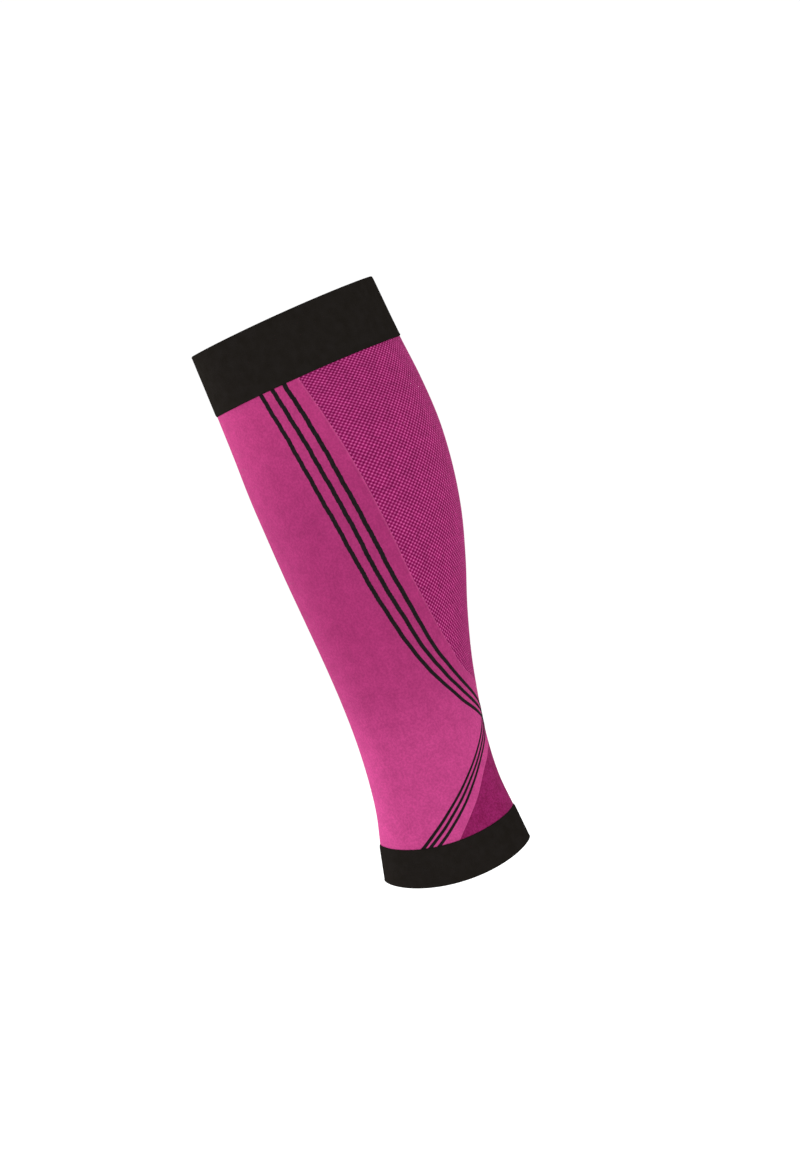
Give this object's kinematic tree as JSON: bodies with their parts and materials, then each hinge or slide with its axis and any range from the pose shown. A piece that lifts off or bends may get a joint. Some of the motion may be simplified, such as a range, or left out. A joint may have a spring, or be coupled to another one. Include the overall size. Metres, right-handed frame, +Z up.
{
  "type": "calf compression sleeve",
  "caption": "Footless knitted compression sleeve for the lower leg, with elastic cuffs, a mesh calf panel and crossing stripes, in its worn shape.",
  "frame": {"origin": "centre of the lower opening, on the leg's axis", "axes": "+Z up the leg towards the knee, -Y towards the shin, +Y towards the calf, +X towards the wearer's outer side"},
  "size_m": [0.1114, 0.1277, 0.353],
  "materials": {
    "cuff_knit": "matte ribbed elastic knit",
    "plain_knit": "fine plain knit with a soft sheen",
    "mesh_knit": "openwork knit with small dark eyelets",
    "ankle_knit": "dense dark knit",
    "stripe_yarn": "matte knitted-in yarn"
  },
  "bodies": {
    "root": {"top_cuff": "cuff_knit", "front_panel": "plain_knit", "calf_panel": "mesh_knit", "ankle_panel": "ankle_knit", "stripes": "stripe_yarn", "bottom_cuff": "cuff_knit"}
  },
  "joints": []
}
